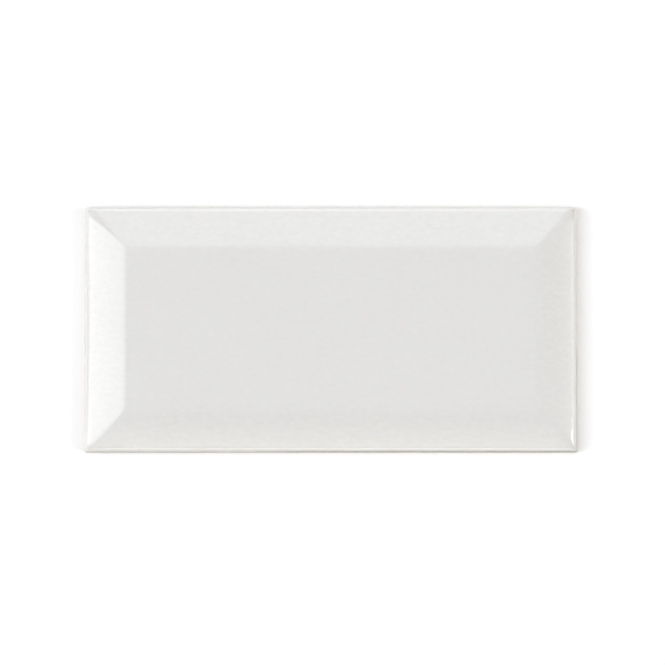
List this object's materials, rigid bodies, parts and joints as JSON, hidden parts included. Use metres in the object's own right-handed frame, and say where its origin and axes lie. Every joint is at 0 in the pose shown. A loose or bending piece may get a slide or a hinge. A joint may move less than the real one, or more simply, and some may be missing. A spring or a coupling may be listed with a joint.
{
  "type": "bevelled subway wall tile",
  "caption": "Rectangular glazed ceramic wall tile: flat raised field, mitred bevels falling to a rounded rim, and a keyed bare back that beds in adhesive.",
  "frame": {"origin": "middle of the back face, which the tile lies on", "axes": "+X along the long side, +Y along the short side, +Z out of the glazed face"},
  "size_m": [0.15, 0.075, 0.008],
  "materials": {
    "white_glaze": "gloss white glaze on the face and rim, bare cream biscuit on the lower walls and back"
  },
  "bodies": {
    "root": {"bevelled_tile": "white_glaze"}
  },
  "joints": []
}
